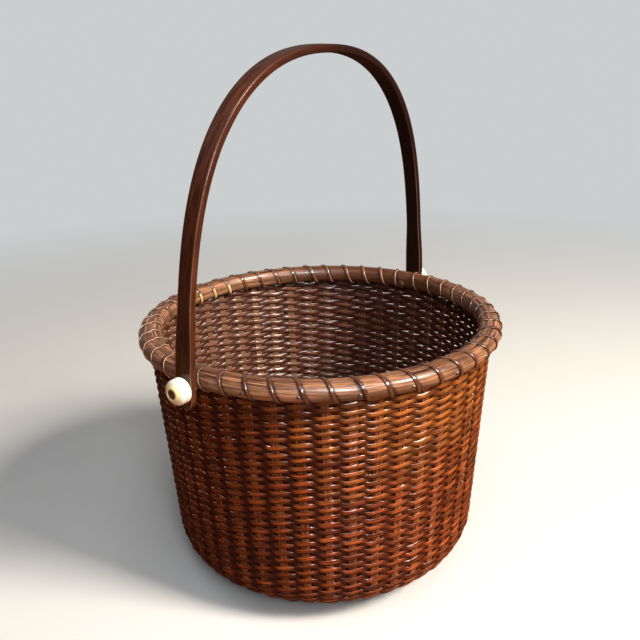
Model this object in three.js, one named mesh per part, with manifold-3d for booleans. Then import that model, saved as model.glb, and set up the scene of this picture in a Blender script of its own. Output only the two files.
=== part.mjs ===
import * as THREE from 'three';
import { mergeVertices } from 'three/addons/utils/BufferGeometryUtils.js';
import Module from 'manifold-3d';

// Round woven basket with a turned base, wooden staves, a two-hoop rim lashed with cane and one
// swinging bail handle. Millimetres, +Z up, origin under the middle of the base, X along the pins.

// Overall sizes
const staveCount = 47;
const wallTopRadius = 113.8;
const wallShoulderRadius = 105.1;
const wallFootRadius = 57.5;
const wallFootZ = 1.2;
const shoulderZ = 35.0;
const wallTopZ = 159.9;
const wallThickness = 4.6;
const clearance = 0.3;
const footCurvePowerShare = 0.8955;
const footTurnShares = [1, 0.84, 0.66, 0.46, 0.24, 0];

// Base plate, turned from one board with a groove round its edge
const basePlateThickness = 9.0;
const basePlateEdgeRound = 1.2;
const basePlateDish = 1.0;
const basePlateRimWidth = 9.0;
const grooveDepth = 6.0;
const basePlateSides = 48;

// Staves
const staveThickness = 1.6;
const staveFootWidth = 4.4;
const staveTopWidth = 5.6;
const pinStaveTopWidth = 9.0;
const staveHeadZ = 172.2;

// Rim hoops: half-round strips, one outside and one inside the stave heads
const hoopMiddleZ = 167.8;
const outerHoopHeight = 11.2;
const outerHoopWidth = 6.5;
const innerHoopHeight = 12.0;
const innerHoopWidth = 5.8;
const hoopClearance = 0.4;
const hoopRoundShare = 0.8;
const hoopTurns = [90, 45, 0, -45, -90];

// Lashing: split cane wound over both hoops, one turn to a stave
const caneWidth = 2.0;
const caneThickness = 0.8;
const strandPathShares = [0, 0.125, 0.25, 0.375, 0.45, 0.55, 0.625, 0.75, 0.875, 1];
const farTurnInnerReachShare = 0.15;
const farTurnOuterReachShare = 0.25;

// Bail handle
const pivotZ = 165.7;
const handleLean = 1.95;
const handleRise = 174.7;
const handleSideShare = 2.32;
const handleCrownShare = 3.6;
const handleLeanInShare = 0.13;
const handleUprightRise = 7.5;
const handleLegWidth = 10.6;
const handleCrownWidth = 12.3;
const handleCrownThickness = 5.0;
const handleLegThickness = 4.3;
const paddleWidth = 13.4;
const paddleThickness = 4.0;
const paddleTopRise = 50.0;
const paddleFullRise = 14.0;
const handleEndDrop = 12.6;
const handleTipThicknessShare = 0.6;
const handleCornerShare = 0.26;
const handleEndTurns = [12, 35, 60, 90];
const bowStepCount = 54;
const bowFineStepCount = 600;

// Pins, knobs and washers on the pivot line
const pinRadius = 1.5;
const pinHeadRadius = 2.6;
const pinHeadThickness = 1.3;
const pinSides = 14;
const washerRadius = 5.0;
const washerThickness = 1.0;
const washerRimGap = 0.5;
const knobRadius = 7.6;
const knobLength = 8.7;
const knobProfileShares = [
  [0, 0.9], [0.08, 0.98], [0.18, 1], [0.27, 0.98], [0.345, 0.93],
  [0.42, 0.97], [0.56, 0.985], [0.69, 0.945], [0.82, 0.81], [0.91, 0.67], [1, 0.53],
];

// Places that follow from the sizes
const staveTurn = 2 * Math.PI / staveCount;
const staveRadius = wallTopRadius - wallThickness / 2;
const staveOuterRadius = staveRadius + staveThickness / 2;
const staveInnerRadius = staveRadius - staveThickness / 2;
const outerHoopFace = staveOuterRadius + hoopClearance;
const innerHoopFace = staveInnerRadius - hoopClearance;
const slotHalf = staveThickness / 2 + clearance;
const caneOffset = clearance + caneThickness / 2;
const boreRadius = pinRadius + clearance;
const lashedRadius = outerHoopFace + outerHoopWidth + clearance + caneThickness;
const washerInnerX = lashedRadius + washerRimGap;
const washerOuterX = washerInnerX + washerThickness;
const handleInnerX = washerOuterX + clearance;
const handleHalfSpan = handleInnerX + paddleThickness / 2;
const knobInnerX = handleInnerX + paddleThickness + clearance;
const knobOuterX = knobInnerX + knobLength;
const innerHoopReach = innerHoopFace - innerHoopWidth;
const facetSag = staveRadius * (1 - Math.cos(staveTurn / 2));

const wood = { roughness: 0.45, metalness: 0 };
const finishes = {
  base: { color: 0x7a4526, ...wood },
  stave: { color: 0x6e3f24, ...wood },
  weave: { color: 0x6b3a20, roughness: 0.4, metalness: 0 },
  hoop: { color: 0x96643f, ...wood },
  cane: { color: 0x8a5232, roughness: 0.35, metalness: 0 },
  handle: { color: 0x3a1d11, ...wood },
  bone: { color: 0xf0e6cb, roughness: 0.3, metalness: 0 },
  peg: { color: 0x4a2a1c, ...wood },
};

const basket = new THREE.Group();

function addPiece(name, geometry, finish, parent = basket) {
  geometry.computeVertexNormals();
  const mesh = new THREE.Mesh(geometry, new THREE.MeshStandardMaterial(finishes[finish]));
  mesh.name = name;
  parent.add(mesh);
  return mesh;
}

// A closed body from corner points and triangles, turned so that its faces point out
function bodyFrom(points, triangles) {
  let sixVolumes = 0;
  for (const [a, b, c] of triangles) {
    sixVolumes += points[a].dot(new THREE.Vector3().crossVectors(points[b], points[c]));
  }
  const facing = sixVolumes < 0 ? triangles.map(([a, b, c]) => [a, c, b]) : triangles;
  const geometry = new THREE.BufferGeometry();
  const corners = points.flatMap((p) => [p.x, p.y, p.z]);
  geometry.setAttribute('position', new THREE.Float32BufferAttribute(corners, 3));
  geometry.setIndex(facing.flat());
  return geometry;
}

// A closed body through a row of equal rings of points, with a flat cap on each end
function skinThrough(rings) {
  const sides = rings[0].length;
  const points = rings.flat();
  const triangles = [];
  for (let ring = 0; ring + 1 < rings.length; ring += 1) {
    for (let side = 0; side < sides; side += 1) {
      const next = (side + 1) % sides;
      const low = ring * sides;
      const high = low + sides;
      triangles.push([low + side, low + next, high + next]);
      triangles.push([low + side, high + next, high + side]);
    }
  }
  const last = points.length - sides;
  for (let side = 1; side + 1 < sides; side += 1) {
    triangles.push([0, side + 1, side]);
    triangles.push([last, last + side, last + side + 1]);
  }
  return bodyFrom(points, triangles);
}

const weldTolerance = 1e-4;

function solidOf(geometry) {
  const bare = geometry.clone();
  bare.deleteAttribute('normal');
  bare.deleteAttribute('uv');
  const merged = mergeVertices(bare, weldTolerance);
  return new wasm.Manifold(new wasm.Mesh({
    numProp: 3,
    vertProperties: new Float32Array(merged.attributes.position.array),
    triVerts: new Uint32Array(merged.index.array),
  }));
}

function geometryOf(solid) {
  const mesh = solid.getMesh();
  const geometry = new THREE.BufferGeometry();
  geometry.setAttribute('position', new THREE.BufferAttribute(mesh.vertProperties, 3));
  geometry.setIndex(new THREE.BufferAttribute(mesh.triVerts, 1));
  return geometry;
}

// Pin bores run along X through both sides of the rim
function drill(geometry, innerX, outerX, height, sides = [-1, 1]) {
  let solid = solidOf(geometry);
  for (const side of sides) {
    const bore = new THREE.CylinderGeometry(boreRadius, boreRadius, outerX - innerX, pinSides);
    bore.rotateZ(Math.PI / 2);
    bore.translate(side * (innerX + outerX) / 2, 0, height);
    solid = solid.subtract(solidOf(bore));
  }
  return geometryOf(solid);
}

const wasm = await Module();
wasm.setup();

// Section of the wall: its outer face runs straight from the rim to the shoulder, then turns in
// under the basket to meet the edge of the base plate level.
function wallSection() {
  const outerFace = footTurnShares.map((share) => {
    const turn = share * Math.PI / 2;
    const swell = Math.cos(turn) ** footCurvePowerShare;
    return new THREE.Vector2(
      wallFootRadius + clearance + (wallShoulderRadius - wallFootRadius - clearance) * swell,
      wallFootZ + (shoulderZ - wallFootZ) * (1 - Math.sin(turn)),
    );
  });
  outerFace.push(new THREE.Vector2(wallTopRadius, wallTopZ));
  return outerFace.map((place, row) => {
    const before = outerFace[Math.max(row - 1, 0)];
    const after = outerFace[Math.min(row + 1, outerFace.length - 1)];
    const outward = new THREE.Vector2(after.y - before.y, before.x - after.x).normalize();
    if (row === 0) outward.set(0, -1);
    if (row === outerFace.length - 1) outward.set(1, 0);
    return { place, outward };
  });
}

const section = wallSection();

function wallLevel(row, depth) {
  const { place, outward } = section[row];
  return place.clone().addScaledVector(outward, -depth);
}

function staveWidthAt(row) {
  const share = row / (section.length - 1);
  return THREE.MathUtils.lerp(staveFootWidth, staveTopWidth, share);
}

function staveAngle(index) {
  return Math.PI + index * staveTurn;
}

// A point at a radius and height, then a distance to the side of the plane at that angle
function pointAt(angle, radius, height, sideways = 0) {
  return new THREE.Vector3(
    radius * Math.cos(angle) - sideways * Math.sin(angle),
    radius * Math.sin(angle) + sideways * Math.cos(angle),
    height,
  );
}

// The woven wall is one shell with a slot through its thickness for each stave
function wovenWall() {
  const points = [];
  const triangles = [];
  const depths = [0, wallThickness / 2 - slotHalf, wallThickness / 2 + slotHalf, wallThickness];
  const perStave = depths.length * 2;
  const perRow = perStave * staveCount;
  for (let row = 0; row < section.length; row += 1) {
    const halfSlot = staveWidthAt(row) / 2 + clearance;
    for (let stave = 0; stave < staveCount; stave += 1) {
      for (const depth of depths) {
        const level = wallLevel(row, depth);
        points.push(pointAt(staveAngle(stave), level.x, level.y, -halfSlot));
        points.push(pointAt(staveAngle(stave), level.x, level.y, halfSlot));
      }
    }
  }
  const corner = (row, stave, depth, side) => (
    row * perRow + (stave % staveCount) * perStave + depth * 2 + side
  );
  const quad = (a, b, c, d) => {
    triangles.push([a, b, c]);
    triangles.push([a, c, d]);
  };
  const [outer, slotOuter, slotInner, inner] = [0, 1, 2, 3];
  for (let stave = 0; stave < staveCount; stave += 1) {
    for (let row = 0; row + 1 < section.length; row += 1) {
      const up = row + 1;
      const strip = (depthA, sideA, staveB, depthB, sideB) => quad(
        corner(row, stave, depthA, sideA),
        corner(row, staveB, depthB, sideB),
        corner(up, staveB, depthB, sideB),
        corner(up, stave, depthA, sideA),
      );
      strip(outer, 0, stave, outer, 1);
      strip(outer, 1, stave + 1, outer, 0);
      strip(inner, 1, stave, inner, 0);
      quad(corner(row, stave + 1, inner, 0), corner(row, stave, inner, 1),
        corner(up, stave, inner, 1), corner(up, stave + 1, inner, 0));
      strip(slotOuter, 1, stave, slotOuter, 0);
      strip(slotOuter, 0, stave, slotInner, 0);
      strip(slotInner, 0, stave, slotInner, 1);
      strip(slotInner, 1, stave, slotOuter, 1);
    }
    for (const row of [0, section.length - 1]) {
      const cap = row === 0 ? quad : (a, b, c, d) => quad(d, c, b, a);
      const at = (extra, depth, side) => corner(row, stave + extra, depth, side);
      cap(at(0, outer, 1), at(0, outer, 0), at(0, slotOuter, 0), at(0, slotOuter, 1));
      cap(at(0, slotInner, 1), at(0, slotInner, 0), at(0, inner, 0), at(0, inner, 1));
      for (const depth of [outer, slotOuter, slotInner]) {
        cap(at(1, depth, 0), at(0, depth, 1), at(0, depth + 1, 1), at(1, depth + 1, 0));
      }
    }
  }
  return bodyFrom(points, triangles);
}

addPiece('woven_wall', wovenWall(), 'weave');

// The base plate's groove is as high as the slots where the wall meets it
function basePlate() {
  const grooveZ = wallLevel(0, wallThickness / 2).y;
  const innerRadius = wallFootRadius - basePlateRimWidth;
  const profile = [
    [0, 0],
    [wallFootRadius - basePlateEdgeRound, 0],
    [wallFootRadius, basePlateEdgeRound],
    [wallFootRadius, grooveZ - slotHalf],
    [wallFootRadius - grooveDepth, grooveZ - slotHalf],
    [wallFootRadius - grooveDepth, grooveZ + slotHalf],
    [wallFootRadius, grooveZ + slotHalf],
    [wallFootRadius, basePlateThickness - basePlateEdgeRound],
    [wallFootRadius - basePlateEdgeRound, basePlateThickness],
    [innerRadius, basePlateThickness],
    [innerRadius - basePlateEdgeRound, basePlateThickness - basePlateDish],
    [0, basePlateThickness - basePlateDish],
  ].map(([radius, height]) => new THREE.Vector2(radius, height));
  const geometry = new THREE.LatheGeometry(profile, basePlateSides);
  geometry.rotateX(Math.PI / 2);
  return geometry;
}

addPiece('base_plate', basePlate(), 'base');

// Each stave starts in the base groove, runs up inside the weave and ends between the hoops.
// Stave 0 is the broad one that the near pin goes through.
function stave(index) {
  const topWidth = index === 0 ? pinStaveTopWidth : staveTopWidth;
  const stations = section.map((_, row) => {
    const level = wallLevel(row, wallThickness / 2);
    return { radius: level.x, height: level.y, outward: section[row].outward, width: staveWidthAt(row) };
  });
  const grooveEnd = wallFootRadius - grooveDepth + clearance;
  stations.unshift({ ...stations[0], radius: grooveEnd });
  const rimFootZ = hoopMiddleZ - innerHoopHeight / 2 - caneOffset;
  const headStation = { ...stations[stations.length - 1], width: topWidth };
  stations.push({ ...headStation, height: rimFootZ });
  stations.push({ ...headStation, height: staveHeadZ });
  const rings = stations.map(({ radius, height, outward, width }) => (
    [[1, -1], [1, 1], [-1, 1], [-1, -1]].map(([face, side]) => pointAt(
      staveAngle(index),
      radius + face * outward.x * staveThickness / 2,
      height + face * outward.y * staveThickness / 2,
      side * width / 2,
    ))
  ));
  const geometry = skinThrough(rings);
  return index === 0
    ? drill(geometry, staveInnerRadius - clearance, staveOuterRadius + clearance, pivotZ, [-1])
    : geometry;
}

for (let index = 0; index < staveCount; index += 1) {
  addPiece(`stave_${String(index).padStart(2, '0')}`, stave(index), 'stave');
}

// Half-round line used for the hoops, and further out for the cane that goes round them
function halfRound(turnDegrees, faceRadius, side, width, height) {
  const turn = THREE.MathUtils.degToRad(turnDegrees);
  return new THREE.Vector2(
    faceRadius + side * width * Math.abs(Math.cos(turn)) ** hoopRoundShare,
    hoopMiddleZ + height / 2 * Math.sin(turn),
  );
}

function hoop(faceRadius, side, width, height) {
  const profile = hoopTurns.map((turn) => halfRound(turn, faceRadius, side, width, height));
  profile.push(profile[0].clone());
  if (side > 0) profile.reverse();
  const geometry = new THREE.LatheGeometry(profile, staveCount, Math.PI * 3 / 2);
  geometry.rotateX(Math.PI / 2);
  return drill(geometry, innerHoopReach - clearance, lashedRadius, pivotZ);
}

addPiece('outer_hoop', hoop(outerHoopFace, 1, outerHoopWidth, outerHoopHeight), 'hoop');
addPiece('inner_hoop', hoop(innerHoopFace, -1, innerHoopWidth, innerHoopHeight), 'hoop');

// One turn of cane climbs the inner hoop half a pitch before its stave, crosses above the stave
// and comes down the outer hoop half a pitch after it, then goes back under between two staves.
const strandLine = [
  ...[...hoopTurns].reverse().map((turn) => halfRound(
    turn, innerHoopFace, -1, innerHoopWidth + facetSag + caneOffset, innerHoopHeight + caneOffset * 2)),
  ...hoopTurns.map((turn) => halfRound(
    turn, outerHoopFace, 1, outerHoopWidth + caneOffset, innerHoopHeight + caneOffset * 2)),
];

function lashing(firstTurn, lastTurn, startReachShare, endReachShare) {
  const centre = [];
  const outward = [];
  for (let turn = firstTurn; turn <= lastTurn; turn += 1) {
    strandLine.forEach((place, step) => {
      const share = strandPathShares[step] - 0.5;
      let reach = 1;
      if (turn === firstTurn && share < 0) reach = 2 * startReachShare;
      if (turn === lastTurn && share > 0) reach = 2 * endReachShare;
      const angle = staveAngle(turn + share * reach);
      const before = strandLine[(step + strandLine.length - 1) % strandLine.length];
      const after = strandLine[(step + 1) % strandLine.length];
      const along = after.clone().sub(before);
      centre.push(pointAt(angle, place.x, place.y));
      outward.push(pointAt(angle, -along.y, along.x).normalize());
    });
  }
  const rings = centre.map((point, index) => {
    const before = centre[Math.max(index - 1, 0)];
    const after = centre[Math.min(index + 1, centre.length - 1)];
    const across = after.clone().sub(before).cross(outward[index]).normalize();
    return [[1, 1], [1, -1], [-1, -1], [-1, 1]].map(([face, side]) => point.clone()
      .addScaledVector(outward[index], face * caneThickness / 2)
      .addScaledVector(across, side * caneWidth / 2));
  });
  let leastGap = Infinity;
  for (let a = 0; a < centre.length; a += 1) {
    for (let b = a + strandLine.length / 2; b < centre.length; b += 1) {
      leastGap = Math.min(leastGap, centre[a].distanceTo(centre[b]) - caneWidth);
    }
  }
  console.log(`cane turns ${firstTurn} to ${lastTurn}: least gap to itself ${leastGap.toFixed(2)} mm`);
  return skinThrough(rings);
}

const farTurn = Math.floor(staveCount / 2);
addPiece('rim_lashing_right', lashing(1, farTurn, 0.5, farTurnOuterReachShare), 'cane');
addPiece('rim_lashing_left', lashing(farTurn + 1, staveCount, farTurnInnerReachShare, 0.5), 'cane');

// Turned pieces on the pivot line: profile points are [distance from the middle, radius]
function turned(side, profile) {
  const line = profile.map(([x, radius]) => new THREE.Vector2(radius, x));
  const geometry = new THREE.LatheGeometry(line, pinSides);
  geometry.rotateZ(-side * Math.PI / 2);
  geometry.translate(0, 0, pivotZ);
  return geometry;
}

function pin(side) {
  const innerHeadX = innerHoopReach - clearance;
  const headFootX = knobOuterX - pinHeadThickness;
  return turned(side, [
    [innerHeadX - pinHeadThickness, 0],
    [innerHeadX - pinHeadThickness, pinHeadRadius],
    [innerHeadX, pinHeadRadius],
    [innerHeadX, pinRadius],
    [headFootX, pinRadius],
    [headFootX, pinHeadRadius],
    [knobOuterX, pinHeadRadius],
    [knobOuterX, 0],
  ]);
}

function washer(side) {
  return turned(side, [
    [washerInnerX, boreRadius],
    [washerInnerX, washerRadius],
    [washerOuterX, washerRadius],
    [washerOuterX, boreRadius],
    [washerInnerX, boreRadius],
  ]);
}

function knob(side) {
  const recess = pinHeadRadius + clearance;
  const recessFootX = knobOuterX - pinHeadThickness - clearance;
  return turned(side, [
    [knobInnerX, boreRadius],
    ...knobProfileShares.map(([along, out]) => [knobInnerX + along * knobLength, out * knobRadius]),
    [knobOuterX, recess],
    [recessFootX, recess],
    [recessFootX, boreRadius],
    [knobInnerX, boreRadius],
  ]);
}

for (const [place, side] of [['near', -1], ['far', 1]]) {
  addPiece(`pin_${place}`, pin(side), 'peg');
  addPiece(`washer_${place}`, washer(side), 'bone');
  addPiece(`knob_${place}`, knob(side), 'bone');
}

// The bail is bent from one strip. Its middle line is a flattened half oval above the pins that
// leans in a little towards the crown, and below the pins each leg ends in a thinner, broader
// paddle with a round end.
function handleSizesAt(rise) {
  const paddle = 1 - THREE.MathUtils.smoothstep(rise, paddleFullRise, paddleTopRise);
  const crown = THREE.MathUtils.clamp(rise / handleRise, 0, 1) ** 2;
  const width = THREE.MathUtils.lerp(handleLegWidth, handleCrownWidth, crown);
  const thickness = THREE.MathUtils.lerp(handleLegThickness, handleCrownThickness, crown);
  return {
    width: THREE.MathUtils.lerp(width, paddleWidth, paddle),
    thickness: THREE.MathUtils.lerp(thickness, paddleThickness, paddle),
  };
}

function bowPlace(share) {
  const turn = Math.PI * share;
  const rise = handleRise * Math.abs(Math.sin(turn)) ** (2 / handleCrownShare);
  const climb = Math.max(rise - handleUprightRise, 0) / (handleRise - handleUprightRise);
  const reach = handleHalfSpan * (1 - handleLeanInShare * climb);
  const side = Math.cos(turn);
  return new THREE.Vector2(-Math.sign(side) * reach * Math.abs(side) ** (2 / handleSideShare), rise);
}

function handleStations() {
  const half = [];
  const endRadius = paddleWidth / 2;
  for (const degrees of handleEndTurns) {
    const turn = THREE.MathUtils.degToRad(degrees);
    half.push({
      x: -handleHalfSpan,
      z: endRadius * (1 - Math.cos(turn)) - handleEndDrop,
      widthShare: Math.sin(turn),
    });
  }
  const fine = [];
  for (let step = 0; step <= bowFineStepCount; step += 1) {
    fine.push(bowPlace(step / bowFineStepCount));
  }
  const line = new THREE.SplineCurve(fine);
  line.arcLengthDivisions = bowFineStepCount;
  const bow = line.getSpacedPoints(bowStepCount).map(({ x, y }) => ({ x, z: y, widthShare: 1 }));
  const mirrored = half.map((station) => ({ ...station, x: -station.x })).reverse();
  return [...half, ...bow, ...mirrored];
}

function handleGeometry() {
  const stations = handleStations();
  const corner = handleCornerShare;
  const outlineShares = [
    [1, 1 - corner], [1 - corner, 1], [-1 + corner, 1], [-1, 1 - corner],
    [-1, -1 + corner], [-1 + corner, -1], [1 - corner, -1], [1, -1 + corner],
  ];
  const rings = stations.map((station, index) => {
    const before = stations[Math.max(index - 1, 0)];
    const after = stations[Math.min(index + 1, stations.length - 1)];
    const along = new THREE.Vector2(after.x - before.x, after.z - before.z).normalize();
    const { width, thickness: fullThickness } = handleSizesAt(station.z);
    const thickness = fullThickness * THREE.MathUtils.lerp(handleTipThicknessShare, 1, station.widthShare);
    return outlineShares.map(([out, sideways]) => new THREE.Vector3(
      station.x - along.y * out * thickness / 2,
      sideways * station.widthShare * width / 2,
      station.z + along.x * out * thickness / 2,
    ));
  });
  return drill(skinThrough(rings), handleInnerX - clearance, knobInnerX, 0);
}

const handleSwing = new THREE.Group();
handleSwing.position.z = pivotZ;
handleSwing.rotation.x = THREE.MathUtils.degToRad(handleLean);
basket.add(handleSwing);
addPiece('handle', handleGeometry(), 'handle', handleSwing);

export default basket;
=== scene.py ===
import math

import bpy
import numpy as np
from mathutils import Matrix, Vector


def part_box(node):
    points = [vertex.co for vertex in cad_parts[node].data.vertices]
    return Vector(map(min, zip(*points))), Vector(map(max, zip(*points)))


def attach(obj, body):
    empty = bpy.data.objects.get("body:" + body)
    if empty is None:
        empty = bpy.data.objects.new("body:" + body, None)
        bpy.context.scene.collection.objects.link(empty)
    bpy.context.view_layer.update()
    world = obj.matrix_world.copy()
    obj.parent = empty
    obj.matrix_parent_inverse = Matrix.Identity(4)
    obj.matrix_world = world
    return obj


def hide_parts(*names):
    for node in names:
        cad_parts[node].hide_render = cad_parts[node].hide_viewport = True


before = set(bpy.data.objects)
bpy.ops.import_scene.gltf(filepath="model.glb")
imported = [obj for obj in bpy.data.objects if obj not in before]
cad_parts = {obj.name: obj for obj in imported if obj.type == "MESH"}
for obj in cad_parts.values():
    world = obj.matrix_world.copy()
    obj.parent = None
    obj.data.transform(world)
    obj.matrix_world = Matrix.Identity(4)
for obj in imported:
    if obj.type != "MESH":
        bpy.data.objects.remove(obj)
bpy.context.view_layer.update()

# Camera. It stands at the photograph's viewpoint, a little above the bail, and looks down into
# the basket. The pins run along X, so the viewpoint is turned round Z from the pin line.
mm = 0.001
view_turn = math.radians(52.7)
view_distance = 488.9 * mm
view_height = 344.4 * mm
view_pitch = math.radians(19.85)
view_roll = math.radians(-1.553)
focal_pixels = 773.1
picture_pixels = 640
sensor_width = 36.0

level_share = math.cos(view_pitch)
forward = Vector(
    (math.sin(view_turn) * level_share, math.cos(view_turn) * level_share, -math.sin(view_pitch))
)
level_ahead = Vector((math.sin(view_turn), math.cos(view_turn), 0))
level_right = Vector((math.cos(view_turn), -math.sin(view_turn), 0))
level_up = level_right.cross(forward)
camera_right = level_right * math.cos(view_roll) + level_up * math.sin(view_roll)
camera_up = level_up * math.cos(view_roll) - level_right * math.sin(view_roll)

camera_data = bpy.data.cameras.new("camera")
camera = bpy.data.objects.new("camera", camera_data)
bpy.context.scene.collection.objects.link(camera)
camera_data.sensor_width = sensor_width
camera_data.lens = focal_pixels / picture_pixels * sensor_width
camera_data.clip_start = 0.01
axes = Matrix((camera_right, camera_up, -forward)).transposed().to_4x4()
camera_place = level_ahead * -view_distance + Vector((0, 0, view_height))
camera.matrix_world = Matrix.Translation(camera_place) @ axes
bpy.context.scene.camera = camera
bpy.context.scene.view_settings.view_transform = "Standard"

# Studio. A key lamp to the right of the camera and above, a window in front, a soft top lamp, and
# a cool one high on the left. The camera sees a pale floor and world, but to the basket they are
# dim and warm, like a wooden table in a room, and only the varnish mirrors a grey wall behind.
floor_drop = 0.3 * mm
floor_reach = 6.0
floor_fade = (0.30, 1.30)
floor_colour = (0.70, 0.69, 0.67, 1)
floor_glow = (0.28, 0.105, 0.033, 1)
world_colour = (0.60, 0.62, 0.625, 1)
world_light = (0.030, 0.021, 0.015, 1)
wall_light = (0.27, 0.28, 0.29, 1)


def add_lamp(name, right, towards, up, size, power, colour, glint=False):
    """An area lamp placed in the camera's own directions, in metres, aimed at the basket. A
    glint lamp shows in the varnish alone."""
    place = level_right * right - level_ahead * towards + Vector((0, 0, up))
    data = bpy.data.lights.new(name, "AREA")
    data.shape = "SQUARE"
    data.size = size
    data.energy = power
    data.color = colour
    lamp = bpy.data.objects.new(name, data)
    bpy.context.scene.collection.objects.link(lamp)
    aim = Vector((0, 0, 0.15)) - place
    lamp.matrix_world = Matrix.Translation(place) @ aim.to_track_quat("-Z", "Y").to_matrix().to_4x4()
    lamp.visible_diffuse = not glint


add_lamp("key", 1.20, 0.67, 1.27, 0.46, 58.0, (1.0, 0.92, 0.80))
add_lamp("window", 0.14, 0.98, 0.78, 0.34, 5.0, (0.90, 0.95, 1.0))
add_lamp("window glint", 0.20, 0.97, 0.72, 0.20, 10.5, (0.85, 0.93, 1.0), True)
add_lamp("top", 0.05, 0.60, 1.55, 0.8, 7.5, (0.92, 0.95, 1.0))
add_lamp("sky", -1.2, 0.1, 1.5, 1.1, 1.1, (0.80, 0.90, 1.0))


def feed(tree, socket, value):
    """Gives a node's input a plain value, or links another node's output to it."""
    if isinstance(value, (int, float, tuple)):
        socket.default_value = value
    else:
        tree.links.new(value, socket)


def mix_colours(tree, factor, a, b):
    """One colour Mix node. factor, a and b are sockets or plain values."""
    node = tree.nodes.new("ShaderNodeMix")
    node.data_type = "RGBA"
    for place, value in ((0, factor), (6, a), (7, b)):
        feed(tree, node.inputs[place], value)
    return node.outputs[2]


def new_material(name):
    """A new material with its node tree and its shader."""
    material = bpy.data.materials.new(name)
    material.use_nodes = True
    return material, material.node_tree, material.node_tree.nodes["Principled BSDF"]


world = bpy.data.worlds.new("studio")
bpy.context.scene.world = world
world.use_nodes = True
world_tree = world.node_tree
ray = world_tree.nodes.new("ShaderNodeLightPath")
ray_way = world_tree.nodes.new("ShaderNodeTexCoord")
wall_share = world_tree.nodes.new("ShaderNodeVectorMath")
wall_share.operation = "DOT_PRODUCT"
wall_share.inputs[1].default_value = level_ahead
world_tree.links.new(ray_way.outputs["Generated"], wall_share.inputs[0])
wall_colour = mix_colours(world_tree, wall_share.outputs["Value"], world_light, wall_light)
sky_colour = mix_colours(world_tree, ray.outputs["Is Glossy Ray"], world_light, wall_colour)
sky_colour = mix_colours(world_tree, ray.outputs["Is Camera Ray"], sky_colour, world_colour)
world_tree.links.new(sky_colour, world_tree.nodes["Background"].inputs["Color"])

floor_mesh = bpy.data.meshes.new("floor")
floor_corners = [
    (x * floor_reach, y * floor_reach, -floor_drop) for x, y in ((-1, -1), (1, -1), (1, 1), (-1, 1))
]
floor_mesh.from_pydata(floor_corners, [], [(0, 1, 2, 3)])
floor = bpy.data.objects.new("floor", floor_mesh)
bpy.context.scene.collection.objects.link(floor)
floor_paint, floor_tree, floor_shader = new_material("floor paint")
floor_nodes, floor_links = floor_tree.nodes, floor_tree.links
floor_shader.inputs["Roughness"].default_value = 0.75
floor_ray = floor_nodes.new("ShaderNodeLightPath").outputs["Is Camera Ray"]
floor_seen = mix_colours(floor_tree, floor_ray, floor_glow, floor_colour)
floor_links.new(floor_seen, floor_shader.inputs["Base Color"])
floor_place = floor_nodes.new("ShaderNodeTexCoord")
floor_distance = floor_nodes.new("ShaderNodeVectorMath")
floor_distance.operation = "LENGTH"
floor_links.new(floor_place.outputs["Object"], floor_distance.inputs[0])
floor_far = floor_nodes.new("ShaderNodeMapRange")
floor_far.interpolation_type = "SMOOTHSTEP"
floor_far.inputs["From Min"].default_value = floor_fade[0]
floor_far.inputs["From Max"].default_value = floor_fade[1]
floor_links.new(floor_distance.outputs["Value"], floor_far.inputs["Value"])
floor_haze = floor_nodes.new("ShaderNodeEmission")
haze_colour = mix_colours(floor_tree, floor_ray, world_light, world_colour)
floor_links.new(haze_colour, floor_haze.inputs["Color"])
floor_blend = floor_nodes.new("ShaderNodeMixShader")
floor_links.new(floor_far.outputs["Result"], floor_blend.inputs["Fac"])
floor_links.new(floor_shader.outputs["BSDF"], floor_blend.inputs[1])
floor_links.new(floor_haze.outputs["Emission"], floor_blend.inputs[2])
floor_links.new(floor_blend.outputs["Shader"], floor_nodes["Material Output"].inputs["Surface"])
floor_mesh.materials.append(floor_paint)

# Base plate. A disc turned from one varnished board: a raised edge ring that holds the stave feet,
# and a floor with a few turned lines.


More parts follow.
